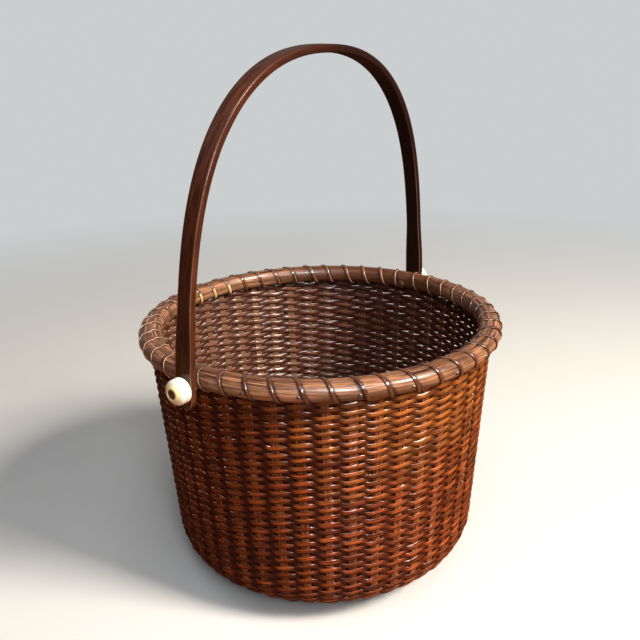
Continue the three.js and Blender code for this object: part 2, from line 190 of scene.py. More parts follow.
def skin(name, grid, along, around, closed_along=False, masks=None):
    """A closed mesh over a grid of points, where grid[i, j] is step i along the piece and point j
    round its section. Open ends get flat caps. along and around are the UV map's metres, with
    one value more than the grid has where that direction closes. Faces are turned outwards, and
    masks are values for each point, or for each step or each section point."""
    rows, columns = grid.shape[:2]
    row = np.arange(rows if closed_along else rows - 1)
    i, j = (a.ravel() for a in np.meshgrid(row, np.arange(columns), indexing="ij"))
    i_next, j_next = (i + 1) % rows, (j + 1) % columns
    quad_corners = ((i, j), (i, j_next), (i_next, j_next), (i_next, j))
    quads = np.stack([a * columns + b for a, b in quad_corners], 1)
    corner_u = np.stack([along[i], along[i], along[i + 1], along[i + 1]], 1)
    corner_v = np.stack([around[j], around[j + 1], around[j + 1], around[j]], 1)
    points = grid.reshape(-1, 3)
    p = points[quads]
    volume = (
        np.einsum("ij,ij->i", p[:, 0], np.cross(p[:, 1], p[:, 2])).sum()
        + np.einsum("ij,ij->i", p[:, 0], np.cross(p[:, 2], p[:, 3])).sum()
    )
    loops = quads.ravel()
    starts = np.arange(0, loops.size, 4)
    uv = np.stack([corner_u.ravel(), corner_v.ravel()], 1)
    if not closed_along:
        first = np.arange(columns)[::-1]
        last = np.arange(columns) + (rows - 1) * columns
        caps = np.concatenate([first, last])
        starts = np.concatenate([starts, [loops.size, loops.size + columns]])
        loops = np.concatenate([loops, caps])
        cap_u = np.repeat([along[0], along[rows - 1]], columns)
        cap_v = np.concatenate([around[:columns][::-1], around[:columns]])
        uv = np.concatenate([uv, np.stack([cap_u, cap_v], 1)])
    mesh = bpy.data.meshes.new(name)
    mesh.vertices.add(len(points))
    mesh.vertices.foreach_set("co", points.astype(np.float32).ravel())
    mesh.loops.add(len(loops))
    mesh.loops.foreach_set("vertex_index", loops.astype(np.int32))
    mesh.polygons.add(len(starts))
    mesh.polygons.foreach_set("loop_start", starts.astype(np.int32))
    mesh.uv_layers.new(name="UVMap")
    mesh.uv_layers["UVMap"].data.foreach_set("uv", uv.astype(np.float32).ravel())
    mesh.update(calc_edges=True)
    mesh.polygons.foreach_set("use_smooth", np.ones(len(starts), bool))
    for mask_name, values in (masks or {}).items():
        layer = mesh.attributes.new(mask_name, "FLOAT", "POINT")
        values = np.broadcast_to(values, (rows, columns)).astype(np.float32)
        layer.data.foreach_set("value", values.ravel())
    if volume < 0:
        mesh.flip_normals()
    piece = bpy.data.objects.new(name, mesh)
    bpy.context.scene.collection.objects.link(piece)
    return piece


def soften_edges(piece, degrees=35):
    """Marks the mesh's sharp edges, so that smooth shading stops at them."""
    piece.data.set_sharp_from_angle(angle=math.radians(degrees))


def run_along(across, up):
    """Length from the first point of a line to each of its points."""
    return np.concatenate([[0], np.cumsum(np.hypot(np.diff(across), np.diff(up)))])


def ring_points(radius, angle, height):
    """Points at a radius, an angle round Z and a height."""
    x, y = radius * np.cos(angle), radius * np.sin(angle)
    return np.stack(np.broadcast_arrays(x, y, height), -1)


def turned(name, profile, sides=96, masks=None):
    """A turned piece round Z: the profile's rows are (radius, height), swept round in a circle."""
    profile = np.array(profile, float)
    angle = np.arange(sides) / sides * 2 * math.pi
    grid = ring_points(profile[:, :1], angle[None], profile[:, 1:])
    around = np.linspace(0, 2 * math.pi * profile[:, 0].max(), sides + 1)
    return skin(name, grid, run_along(*profile.T), around, masks=masks)


def math_node(tree, operation, a, b, clamp=False):
    """One Math node whose inputs are sockets or numbers. Gives its output socket."""
    node = tree.nodes.new("ShaderNodeMath")
    node.operation = operation
    node.use_clamp = clamp
    feed(tree, node.inputs[0], a)
    feed(tree, node.inputs[1], b)
    return node.outputs[0]


def noise(tree, vector, scale, detail=3.0):
    """One Noise node on a vector socket. Gives its grey output."""
    node = tree.nodes.new("ShaderNodeTexNoise")
    node.inputs["Scale"].default_value = scale
    node.inputs["Detail"].default_value = detail
    node.inputs["Roughness"].default_value = 0.55
    tree.links.new(vector, node.inputs["Vector"])
    return node.outputs["Fac"]


def stretch(tree, vector, x, y, z=1.0):
    """Scales a vector socket along its three axes."""
    node = tree.nodes.new("ShaderNodeVectorMath")
    node.operation = "MULTIPLY"
    tree.links.new(vector, node.inputs[0])
    node.inputs[1].default_value = (x, y, z)
    return node.outputs[0]


def ramp(tree, factor, low, high):
    """Stretches a grey socket so that low becomes 0 and high becomes 1, and clamps it."""
    node = tree.nodes.new("ShaderNodeMapRange")
    for socket, value in (("From Min", low), ("From Max", high), ("Value", factor)):
        feed(tree, node.inputs[socket], value)
    return node.outputs["Result"]


# Grain of the wood and the cane: long fibres, slower bands and dark pores that run along the first
# axis, with cloudy patches from the varnish. Each noise has its scales along and across the grain
# and its detail. A small spread gives hard streaks, a large one faint ones.
grain_noises = (((45, 1000), 4.0), ((12, 300), 2.0), ((30, 60), 3.0), ((55, 1900), 2.0))
grain_middle = 1.185
grain_spread = 0.235
grain_group = bpy.data.node_groups.new("wood grain", "ShaderNodeTree")
for way, sockets in (
    ("INPUT", {"Vector": "Vector", "Dark": "Color", "Pale": "Color", "Spread": "Float"}),
    ("OUTPUT", {"Color": "Color", "Fibres": "Float", "Patches": "Float"}),
):
    for socket, kind in sockets.items():
        grain_group.interface.new_socket(socket, in_out=way, socket_type="NodeSocket" + kind)
grain_in = grain_group.nodes.new("NodeGroupInput")
grain_out = grain_group.nodes.new("NodeGroupOutput")
fibres, bands, patches, pores = (
    noise(grain_group, stretch(grain_group, grain_in.outputs["Vector"], *scales), 1.0, detail)
    for scales, detail in grain_noises
)
streaks = math_node(grain_group, "ADD", math_node(grain_group, "MULTIPLY", fibres, 0.8), bands)
mixed = math_node(grain_group, "ADD", streaks, math_node(grain_group, "MULTIPLY", patches, 0.6))
lowest = math_node(grain_group, "SUBTRACT", grain_middle, grain_in.outputs["Spread"])
highest = math_node(grain_group, "ADD", grain_middle, grain_in.outputs["Spread"])
shade = ramp(grain_group, mixed, lowest, highest)
shade = math_node(grain_group, "MULTIPLY", shade, ramp(grain_group, pores, 0.40, 0.50))
grain_colour = mix_colours(grain_group, shade, grain_in.outputs["Dark"], grain_in.outputs["Pale"])
grain_group.links.new(grain_colour, grain_out.inputs["Color"])
grain_group.links.new(fibres, grain_out.inputs["Fibres"])
grain_group.links.new(patches, grain_out.inputs["Patches"])

# The patches also break the edges of a mark and vary the roughness, and a dull mark is rougher.
mark_clouds = 0.6
mark_range = (0.55, 1.25)
rough_spread = 0.3
dry_roughness = 0.4
fibre_depth = 0.15 * mm


def add_grain(tree, vector, dark, pale, spread=grain_spread):
    """The wood grain between two colours, read at a vector socket. Gives its output sockets."""
    grain = tree.nodes.new("ShaderNodeGroup")
    grain.node_tree = grain_group
    grain.inputs["Dark"].default_value = (*dark, 1)
    grain.inputs["Pale"].default_value = (*pale, 1)
    grain.inputs["Spread"].default_value = spread
    tree.links.new(vector, grain.inputs["Vector"])
    return grain.outputs


def raise_fibres(tree, shader, fibres, strength):
    """Lets the grain's fibres stand out a little from the surface."""
    ridges = tree.nodes.new("ShaderNodeBump")
    ridges.inputs["Strength"].default_value = strength
    ridges.inputs["Distance"].default_value = fibre_depth
    tree.links.new(fibres, ridges.inputs["Height"])
    tree.links.new(ridges.outputs["Normal"], shader.inputs["Normal"])


def wood_material(
    name, dark, pale, roughness, coat, bump, marks=(), gloss=0.5, spread=grain_spread, coat_roughness=0.15
):
    """Varnished wood or cane. Each mark is (mask on the mesh, colour, strength, dulling): pale
    edges from wear and painted highlight, lighter tones, darker areas, and dirt and painted shade
    that also dull the varnish."""
    material, tree, shader = new_material(name)
    uv = tree.nodes.new("ShaderNodeUVMap")
    uv.uv_map = "UVMap"
    grain = add_grain(tree, uv.outputs["UV"], dark, pale, spread)
    colour = grain["Color"]
    shine = None
    for mask_name, mark_colour, strength, dulling in marks:
        mask = tree.nodes.new("ShaderNodeAttribute")
        mask.attribute_name = mask_name
        broken = math_node(tree, "MULTIPLY", grain["Patches"], mark_clouds)
        broken = ramp(tree, math_node(tree, "ADD", mask.outputs["Fac"], broken), *mark_range)
        share = math_node(tree, "MULTIPLY", broken, strength)
        colour = mix_colours(tree, share, colour, (*mark_colour, 1))
        if dulling:
            dulled = math_node(tree, "ADD", math_node(tree, "MULTIPLY", broken, -dulling), 1.0)
            shine = dulled if shine is None else math_node(tree, "MULTIPLY", shine, dulled)
    tree.links.new(colour, shader.inputs["Base Color"])
    rough = math_node(tree, "MULTIPLY", ramp(tree, grain["Patches"], 0.0, 1.0), rough_spread)
    rough = math_node(tree, "ADD", rough, roughness - rough_spread / 2)
    shader.inputs["Specular IOR Level"].default_value = gloss
    shader.inputs["Coat Weight"].default_value = coat
    shader.inputs["Coat Roughness"].default_value = coat_roughness
    if shine is not None:
        tree.links.new(math_node(tree, "MULTIPLY", shine, coat), shader.inputs["Coat Weight"])
        dry = math_node(tree, "MULTIPLY", math_node(tree, "SUBTRACT", 1.0, shine), dry_roughness)
        rough = math_node(tree, "ADD", rough, dry, True)
    tree.links.new(rough, shader.inputs["Roughness"])
    raise_fibres(tree, shader, grain["Fibres"], bump)
    return material


plate_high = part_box("base_plate")[1]
plate_radius = plate_high.x
plate_top = plate_high.z
plate_ring_width = 9.0 * mm
plate_floor = plate_top - 1.0 * mm
plate_edge = 1.2 * mm
plate_bore = 0.2 * mm
ring_slope = 0.6 * mm
groove_line = 0.35 * mm
turned_line_shares = (0.66, 0.63, 0.30, 0.27)
bevel = [(math.sin(a) * plate_edge, math.cos(a) * plate_edge) for a in np.radians([0, 22, 45, 68, 90])]
edge_centre = plate_radius - plate_edge
plate_profile = [(plate_bore, 0.0), (edge_centre, 0.0)]
plate_profile += [(edge_centre + x, plate_edge - z) for x, z in bevel]
plate_profile += [(edge_centre + x, plate_top - plate_edge + z) for x, z in reversed(bevel)]
ring_inner = plate_radius - plate_ring_width
plate_profile += [(ring_inner, plate_top), (ring_inner - ring_slope, plate_floor)]
for share in turned_line_shares:
    line_radius = plate_radius * share
    for step in (1, 0, -1):
        depth = groove_line * (step == 0)
        plate_profile.append((line_radius + step * groove_line, plate_floor - depth))
plate_profile += [(plate_bore, plate_floor)]
plate = turned("turned_base", plate_profile)
soften_edges(plate)


def board_material(name, dark, pale):
    """A turned board: straight grain along X read from Object coordinates, under varnish."""
    material, tree, shader = new_material(name)
    place = tree.nodes.new("ShaderNodeTexCoord").outputs["Object"]
    grain = add_grain(tree, stretch(tree, place, 1.0, 0.35, 0.35), dark, pale)
    tree.links.new(grain["Color"], shader.inputs["Base Color"])
    shader.inputs["Roughness"].default_value = 0.42
    shader.inputs["Coat Weight"].default_value = 0.25
    raise_fibres(tree, shader, grain["Fibres"], 0.25)
    return material


plate.data.materials.append(board_material("base board", (0.115, 0.040, 0.016), (0.27, 0.115, 0.050)))
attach(plate, "basket")
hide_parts("base_plate")

# Staves. Thin split strips, one to each lashing turn. Each foot sits in the base plate's edge ring,
# the strip runs up inside the weave and its head is held between the two rim hoops. They are
# plainer and browner inside, and dark on the side that the light misses.
stave_count = sum(name.startswith("stave_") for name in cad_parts)
wall_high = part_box("woven_wall")[1]
wall_thickness = 4.6 * mm
wall_top_radius = wall_high.x
wall_shoulder_radius = 105.1 * mm
wall_foot_radius = plate_radius + 0.3 * mm
wall_foot_height = 1.2 * mm
shoulder_height = 35.0 * mm
wall_top = wall_high.z
foot_curve_power = 0.8955
stave_thickness = 1.0 * mm
stave_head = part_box("stave_01")[1].z
stave_foot_width = 4.4 * mm
stave_head_width = 5.6 * mm
pin_stave_width = 9.0 * mm
stave_sides = 12
stave_flat_power = 0.45
stave_thick_power = 0.8
stave_grain_shift = 0.37
head_start = 2.0 * mm


def wall_line(steps=1200):
    """The wall's middle line from the base's edge to the rim as arc lengths, points and outward
    directions. The outer face turns in under the basket as (cos t)^power in radius and
    1 - sin t in height, then runs straight up to the rim; the middle lies half the wall inside."""
    t = np.linspace(math.pi / 2, 0, steps)
    widening = wall_shoulder_radius - wall_foot_radius
    radius = wall_foot_radius + widening * np.clip(np.cos(t), 0, 1) ** foot_curve_power
    height = wall_foot_height + (shoulder_height - wall_foot_height) * (1 - np.sin(t))
    rise = np.linspace(0, 1, steps)[1:]
    radius = np.concatenate([radius, wall_shoulder_radius + (wall_top_radius - wall_shoulder_radius) * rise])
    height = np.concatenate([height, shoulder_height + (wall_top - shoulder_height) * rise])
    tangent = np.stack([np.gradient(radius), np.gradient(height)], 1)
    tangent /= np.linalg.norm(tangent, axis=1)[:, None]
    outward = np.stack([tangent[:, 1], -tangent[:, 0]], 1)
    middle = np.stack([radius, height], 1) - outward * wall_thickness / 2
    return run_along(*middle.T), middle, outward


wall_arc, wall_middle, wall_outward = wall_line()
wall_length = wall_arc[-1]


def wall_place(arc):
    """Radius, height and outward direction of the wall's middle at arc lengths from the base."""
    radius, height = (np.interp(arc, wall_arc, wall_middle[:, k]) for k in (0, 1))
    out_r, out_z = (np.interp(arc, wall_arc, wall_outward[:, k]) for k in (0, 1))
    size = np.hypot(out_r, out_z)
    return radius, height, out_r / size, out_z / size


def signed_power(value, power):
    """The size of the value raised to the power, with the value's sign."""
    return np.sign(value) * np.abs(value) ** power


far_side = math.pi / 2 - view_turn


def side_share(angle, turn, gain=1.0, loss=0.0):
    """How far a place round the basket lies on one side, that is a turn away from the far side:
    the cosine of the angle between them times gain, less loss, and kept between 0 and 1."""
    return np.clip(gain * np.cos(angle - far_side - turn) - loss, 0, 1)


inside_shade = {"turn": -1.05, "gain": 1.4}
stave_arc = np.linspace(0, wall_length, 60)
stave_radius, stave_height, stave_out_r, stave_out_z = wall_place(stave_arc)
foot_inside = 5.0 * mm
stave_radius = np.concatenate([[stave_radius[0] - foot_inside], stave_radius, [stave_radius[-1]] * 2])
stave_height = np.concatenate([[stave_height[0]], stave_height, [wall_top + head_start, stave_head]])
stave_out_r = np.concatenate([[stave_out_r[0]], stave_out_r, [1, 1]])
stave_out_z = np.concatenate([[stave_out_z[0]], stave_out_z, [0, 0]])
stave_run = run_along(stave_radius, stave_height)
section_turn = np.arange(stave_sides) / stave_sides * 2 * math.pi
section_flat = signed_power(np.cos(section_turn), stave_flat_power)
section_thick = signed_power(np.sin(section_turn), stave_thick_power)
stave_inside = (section_thick < -0.1)[None]
stave_rounds = np.linspace(0, 2 * (stave_head_width + stave_thickness), stave_sides + 1)
stave_material = wood_material(
    "split stave wood", (0.070, 0.013, 0.003), (0.44, 0.135, 0.040), 0.38, 0.20, 0.5,
    marks=(
        ("inner_side", (0.200, 0.106, 0.059), 0.85, 0.0),
        ("shaded_inside", (0.036, 0.0110, 0.0040), 0.80, 0.8),
    ),
    gloss=0.15,
)
for k in range(stave_count):
    angle = math.pi + k * 2 * math.pi / stave_count
    head = pin_stave_width if k == 0 else stave_head_width
    share = np.clip(stave_run / stave_run[-1], 0, 1)
    width = stave_foot_width + (stave_head_width - stave_foot_width) * share
    width = np.where(stave_height > wall_top, head, width)
    across = width[:, None] / 2 * section_flat[None]
    deep = stave_thickness / 2 * section_thick[None]
    radial = stave_radius[:, None] + stave_out_r[:, None] * deep
    level = stave_height[:, None] + stave_out_z[:, None] * deep
    x = radial * math.cos(angle) - across * math.sin(angle)
    y = radial * math.sin(angle) + across * math.cos(angle)
    grid = np.stack([x, y, level], 2)
    # Painted shade: the staves' inner faces are painted dark on the side that the light misses.
    shaded = stave_inside * side_share(angle, **inside_shade)
    strip = skin(
        f"stave_strip_{k:02d}", grid, stave_run + k * stave_grain_shift, stave_rounds,
        masks={"inner_side": stave_inside, "shaded_inside": shaded},
    )
    strip.data.materials.append(stave_material)
    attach(strip, "basket")
    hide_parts(f"stave_{k:02d}")

# Woven wall. One long weaver of split cane winds up from the base to the rim in a spiral, in
# front of one stave and behind the next. With an odd number of staves each row falls the other
# way round from the row below it. It is old and varnished, and glossy on its round side. Its
# hollows and the lower edge of each row are painted dark, as dirt and as shade. The upper rows on
# the side towards the key lamp are painted a lighter, yellower tone, as fade and as painted light.
# Outside, the side away from the key lamp is painted dark and dull as shade, and so is the inside
# of the wall towards the key lamp, whose inner face the light misses; the right-hand edge as seen
# from the camera is painted darker as shade. Each stave's crossings have a tone of their own, with
# random stains.
row_pitch = 2.73 * mm
row_tilt = 0.0288
cane_height = 3.02 * mm
cane_flare = 0.06
cane_pinch = 0.06
cane_thickness = 1.0 * mm
cane_swing = stave_thickness / 2 + cane_thickness / 2 + 0.02 * mm
cane_slant = 0.42 * mm
steps_per_stave = 8
cane_sides = 12
band_count = 5
swing_power = 0.82
row_wander = 0.15 * mm
depth_wander = 0.05 * mm
height_wander = 0.06
lean_wander = 0.10
faded_and_lit_turn = math.pi + 0.60
shaded_edge_turn = math.pi + 1.40
shaded_side_turn = 2.05
fade_start = 55 * mm
fade_rise = 90 * mm
stain_level = 0.08
stain_wander = 0.5
stave_tone_spread = 0.17
tone_steps = 5
weave_start = 0.1 * mm
weave_end = wall_length + 2.0 * mm
thinnest = 0.4 * mm
first_row_arc = weave_start + thinnest - cane_height / 2
last_row_arc = weave_end - thinnest + cane_height / 2
row_count = round((last_row_arc - first_row_arc) / row_pitch)
chance = np.random.default_rng(47)


def wander(count, knots, size):
    """A smooth random line: random values at evenly spaced knots, joined by half cosines."""
    values = chance.normal(0, size, knots + 2)
    place = np.linspace(0, knots, count)
    low = np.minimum(place.astype(int), knots)
    part = 0.5 - 0.5 * np.cos(math.pi * (place - low))
    return values[low] * (1 - part) + values[low + 1] * part


weave_steps = row_count * stave_count * steps_per_stave
turn = np.linspace(0, row_count, weave_steps)
weave_angle = math.pi + turn * 2 * math.pi
risen = turn / row_count
sag = row_tilt * np.sin(math.pi * risen) * np.cos(weave_angle - far_side)
arc = first_row_arc + (last_row_arc - first_row_arc) * (risen - sag)
arc = arc + wander(weave_steps, row_count * 16, row_wander)
stave_phase = turn * stave_count
swing = signed_power(np.cos(math.pi * stave_phase), swing_power)
side_shift = swing * (cane_swing + np.abs(wander(weave_steps, row_count * stave_count, depth_wander)))
tall = cane_height * (1 + wander(weave_steps, row_count * 20, height_wander))
tall = tall * (1 - cane_pinch * (1 - np.abs(swing)))
arc = arc + cane_slant * np.sin(2 * math.pi * stave_phase)
top_edge = np.clip(arc + tall / 2, weave_start + thinnest, weave_end)
low_edge = np.clip(arc - tall / 2, weave_start, weave_end - thinnest)
arc, tall = (top_edge + low_edge) / 2, top_edge - low_edge
weave_radius, weave_height, weave_out_r, weave_out_z = wall_place(arc)
weave_height = weave_height + np.clip(arc - wall_length, 0, None)
lean = wander(weave_steps, row_count * stave_count, lean_wander)
cane_side = np.array([(0.30, -1.0), (0.85, -0.86), (1.0, -0.40), (0.93, 0.15), (0.65, 0.66), (0.18, 1.0)])
cane_section = np.concatenate([cane_side, cane_side[::-1] * (-1, 1)])
cane_out, cane_up = cane_section[:, 0] * cane_thickness / 2, cane_section[:, 1] / 2
out = side_shift[:, None] + cane_out[None] + cane_up[None] * (tall * lean)[:, None]
flare = 1 - cane_flare * np.sign(cane_out)[None] * swing[:, None]
up = cane_up[None] * flare * tall[:, None] - cane_out[None] * lean[:, None]
along_r, along_z = -weave_out_z, weave_out_r
weave_r = weave_radius[:, None] + weave_out_r[:, None] * out + along_r[:, None] * up
weave_z = weave_height[:, None] + weave_out_z[:, None] * out + along_z[:, None] * up
weave_grid = ring_points(weave_r, weave_angle[:, None], weave_z)
weave_run = np.concatenate([[0], np.cumsum(weave_radius[1:] * np.diff(weave_angle))])
weave_rounds = np.linspace(0, 2 * (cane_height + cane_thickness), cane_sides + 1)
inner_side = (cane_out < 0)[None]
# Painted light as well as fade: the upper rows on the side towards the key lamp are painted lighter and
# yellower, and their hollows less dark.
faded_and_lit_side = side_share(weave_angle, faded_and_lit_turn) ** 2
# Painted dark where the cane dips behind a stave and along each row's lower edge: dirt and painted shade.
hollow_dirt_and_shade = np.clip((0.97 - np.sign(cane_out)[None] * swing[:, None]) / 0.70, 0, 1)
hollow_dirt_and_shade = hollow_dirt_and_shade * np.where(cane_out > 0, 1.10, 0.75)[None] * (1 - 0.30 * faded_and_lit_side)[:, None]
hollow_dirt_and_shade = np.maximum(hollow_dirt_and_shade, np.clip(0.28 - cane_section[:, 1], 0, 0.85)[None])
faded_and_lit = faded_and_lit_side * np.clip((weave_height - fade_start) / fade_rise, 0, 1)
faded_and_lit = np.clip(faded_and_lit + wander(weave_steps, row_count * 30, 0.16) * (faded_and_lit > 0.1), 0, 1) * 0.9
stain_and_shade = stain_level + wander(weave_steps, int(row_count * stave_count * 1.7), stain_wander)
stave_tones = np.random.default_rng(12).normal(0, stave_tone_spread, (stave_count, tone_steps + 2))
at_stave = np.round(stave_phase).astype(int) % stave_count
tone_level = np.clip(weave_height / wall_top * tone_steps, 0, tone_steps)
tone_low = tone_level.astype(int)
tone_part = tone_level - tone_low
stain_and_shade = stain_and_shade + stave_tones[at_stave, tone_low] * (1 - tone_part)
stain_and_shade = stain_and_shade + stave_tones[at_stave, tone_low + 1] * tone_part
# Painted shade: the right-hand edge as seen from the camera is painted darker.
stain_and_shade = np.clip(stain_and_shade + 0.40 * side_share(weave_angle, shaded_edge_turn) ** 4, 0, 1)
# Painted shade: outside on the side away from the key lamp, and inside on the wall towards it.
painted_shade_outside = side_share(weave_angle, shaded_side_turn) ** 2
painted_shade_inside = side_share(weave_angle, **inside_shade)
painted_shade = np.where(inner_side, painted_shade_inside[:, None], painted_shade_outside[:, None])
weave_masks = {
    "hollow_dirt_and_shade": hollow_dirt_and_shade, "inner_side": inner_side, "faded_and_lit": faded_and_lit[:, None], "stain_and_shade": stain_and_shade[:, None],
    "painted_shade": painted_shade,
}
weave_masks = {mask: np.broadcast_to(values, weave_r.shape) for mask, values in weave_masks.items()}
weave_material = wood_material(
    "aged cane", (0.038, 0.0046, 0.0009), (0.48, 0.088, 0.0140), 0.36, 1.0, 0.5,
    marks=(
        ("faded_and_lit", (0.53, 0.184, 0.030), 0.55, 0.0), ("inner_side", (0.152, 0.079, 0.048), 0.8, 0.0),
        ("stain_and_shade", (0.090, 0.0135, 0.0028), 0.65, 0.0), ("hollow_dirt_and_shade", (0.034, 0.0046, 0.0010), 0.92, 0.85),
        ("painted_shade", (0.050, 0.0070, 0.0014), 0.58, 0.80),
    ),
    gloss=0.06, spread=0.19, coat_roughness=0.17,
)
for band in range(band_count):
    first = weave_steps * band // band_count
    last = min(weave_steps * (band + 1) // band_count + 1, weave_steps)
    piece = skin(
        f"weave_band_{band + 1}", weave_grid[first:last], weave_run[first:last], weave_rounds,
        masks={mask: values[first:last] for mask, values in weave_masks.items()},
    )
    piece.data.materials.append(weave_material)
    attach(piece, "basket")
    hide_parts("woven_wall")

# Rim hoops. Two half-round strips bent into rings, one outside and one inside the stave heads.
# Each strip's ends taper and lie over each other in a long scarf joint. The far part, right of the
# middle, is painted darker and duller, as old varnish and as shade, the lower face is painted
# darker as shade, and beside the lashing the hoops are painted dark as dirt and as the lashing's
# shade.
outer_low, outer_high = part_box("outer_hoop")
inner_low, inner_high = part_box("inner_hoop")
outer_face = wall_top_radius - wall_thickness / 2 + stave_thickness / 2 + 0.2 * mm
inner_face = wall_top_radius - wall_thickness / 2 - stave_thickness / 2 - 0.2 * mm
hoop_steps = 900
half_round_power = 0.72
scarf_turn = 0.62
scarf_tip = 0.03
inner_reach = 5.9 * mm
grime_and_shade_start = 1.0 * mm
grime_and_shade_width = 1.8 * mm
outer_width = outer_high.x - outer_face
outer_middle, outer_height = (outer_low.z + outer_high.z) / 2, outer_high.z - outer_low.z
inner_middle, inner_height = (inner_low.z + inner_high.z) / 2, inner_high.z - inner_low.z
stave_pitch = 2 * math.pi / stave_count
hoop_material = wood_material(
    "bent hoop wood", (0.045, 0.012, 0.004), (0.46, 0.203, 0.099), 0.38, 0.44, 1.0,
    marks=(
        ("painted_shade_below", (0.130, 0.042, 0.014), 0.60, 0.0), ("crest", (0.46, 0.230, 0.125), 0.25, 0.0),
        ("aged_and_shaded", (0.075, 0.0200, 0.0060), 0.85, 0.3), ("grime_and_shade", (0.022, 0.007, 0.003), 0.9, 0.7),
    ),
    gloss=0.32, spread=0.13, coat_roughness=0.25,
)


def half_round(turn, width, height):
    """Points of a half-round section, from its top edge over the round side to its lower edge."""
    return width * np.abs(np.cos(turn)) ** half_round_power, height / 2 * np.sin(turn)


def lashing_shift(turn, inside):
    """How far the cane has moved round the rim, in stave pitches, at a place on the section."""
    share = (turn / math.pi + 0.5) * 0.45
    return share - 0.5 if inside else 0.5 - share


def hoop(name, face, side, width, middle, height, scarf_start, slot_node):
    """A bent half-round strip with scarfed ends: over the joint the strip's inner layer thins
    from outside and its outer layer from inside, so together they keep the full section."""
    turn = np.linspace(math.pi / 2, -math.pi / 2, 17)
    round_out, round_up = half_round(turn, width, height)
    angle = scarf_start + np.linspace(0, 2 * math.pi + scarf_turn, hoop_steps)
    start_share = np.clip((angle - angle[0]) / scarf_turn, scarf_tip, 1)
    end_share = np.clip((angle - angle[-1]) / scarf_turn + 1, 0, 1 - scarf_tip)
    wave = 1 + 0.012 * np.sin(angle * 9 + face * 5000) + 0.010 * np.sin(angle * 23)
    round_line = face + side * round_out[None] * start_share[:, None] * wave[:, None]
    flat_line = face + side * round_out[None, ::-1] * end_share[:, None] * 0.98
    radial = np.concatenate([round_line, flat_line[:, 1:-1]], 1)
    level = middle + np.concatenate([round_up, round_up[::-1][1:-1]])
    grid = ring_points(radial, angle[:, None], level[None])
    turn_all = np.concatenate([turn, turn[::-1][1:-1]])
    phase = (angle[:, None] - math.pi) / stave_pitch - lashing_shift(turn_all, side < 0)[None]
    distance = np.abs(phase - np.round(phase)) * stave_pitch * face
    # Painted dark beside the lashing, as dirt and as its shade.
    grime_and_shade = np.clip(1 - (distance - grime_and_shade_start) / grime_and_shade_width, 0, 1)
    masks = {
        "grime_and_shade": grime_and_shade,
        "crest": np.clip(np.abs(np.cos(turn_all)) * 1.6 - 0.6, 0, 1)[None] * (1 - grime_and_shade),
        # Painted shade: the lower face of each hoop is painted darker.
        "painted_shade_below": np.clip(-turn_all / math.pi * 3.2 - 0.35, 0, 1)[None],
        # Painted darker and duller over the far part, as old varnish and as shade.
        "aged_and_shaded": side_share(angle, -0.40, gain=5, loss=3.5)[:, None],
    }
    section_run = np.linspace(0, 2 * (width + height), grid.shape[1] + 1)
    piece = skin(name, grid, angle * face, section_run, masks=masks)
    soften_edges(piece, 50)
    piece.data.materials.append(hoop_material)
    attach(piece, "basket")
    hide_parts(slot_node)


hoop("rim_hoop_outside", outer_face, 1, outer_width, outer_middle, outer_height, 2.05, "outer_hoop")
hoop("rim_hoop_inside", inner_face, -1, inner_reach, inner_middle, inner_height, 5.30, "inner_hoop")

# Rim cap. A thin flat strip laid over the stave heads, where it closes the slot between the two
# hoops. The lashing holds it down, and along its edges beside each turn it is painted dark as dirt
# and as the lashing's shade.
cap_middle = (outer_face + inner_face) / 2
cap_section = np.array([
    (-2.0, 0.10), (-1.6, 0.24), (-0.8, 0.27), (0.0, 0.17), (0.8, 0.02), (1.6, -0.16), (2.0, -0.30),
    (1.9, -0.48), (0.0, -0.45), (-1.9, -0.12),
]) * mm
cap_level = inner_high.z - 0.05 * mm
cap_steps = 720
cap_angle = np.arange(cap_steps) / cap_steps * 2 * math.pi
cap_radius, cap_height = cap_middle + cap_section[:, 0], cap_level + cap_section[:, 1]
cap_grid = ring_points(cap_radius[None], cap_angle[:, None], cap_height[None])
cap_phase = (cap_angle - math.pi) / stave_pitch
cap_distance = np.abs(cap_phase - np.round(cap_phase)) * stave_pitch * cap_middle
# Painted dark beside each lashing turn, as dirt and as the turn's shade.
cap_near = np.clip(1 - (cap_distance - 1.1 * mm) / (4.5 * mm), 0, 1)
cap_edge = np.clip(np.abs(cap_section[:, 0]) / mm - 0.9, 0, 1)
cap = skin(
    "rim_cap_strip", cap_grid, np.linspace(0, 2 * math.pi * cap_middle, cap_steps + 1),
    np.linspace(0, 9 * mm, len(cap_section) + 1), closed_along=True,
    masks={"grime_and_shade": cap_near[:, None] * cap_edge[None]},
)
cap.data.materials.append(
    wood_material(
        "rim cap cane", (0.055, 0.017, 0.006), (0.35, 0.148, 0.066), 0.34, 0.35, 0.5,
        marks=(("grime_and_shade", (0.014, 0.004, 0.002), 1.0, 0.8),), gloss=0.3,
    )
)
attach(cap, "basket")

# Lashing. Split cane wound over both hoops, one turn to a stave: up the inner hoop, over the top
# above the stave, down the outer hoop and back under between two staves. One strip laces each
# half of the rim, and both keep clear of the far pin.
lashing_width = 2.2 * mm
lashing_thickness = 0.7 * mm
lashing_lift = lashing_thickness / 2 + 0.05 * mm
lashing_rise = lashing_lift + 0.20 * mm
far_turn = stave_count // 2
steps_up = 22
bare_turns = (34, 36)
lashing_material = wood_material(
    "glossy lashing cane", (0.050, 0.014, 0.005), (0.20, 0.066, 0.028), 0.28, 0.7, 0.3,
    marks=(("ridge", (0.60, 0.34, 0.19), 0.7, 0.0), ("bare", (0.85, 0.62, 0.27), 0.9, 0.0)),
)


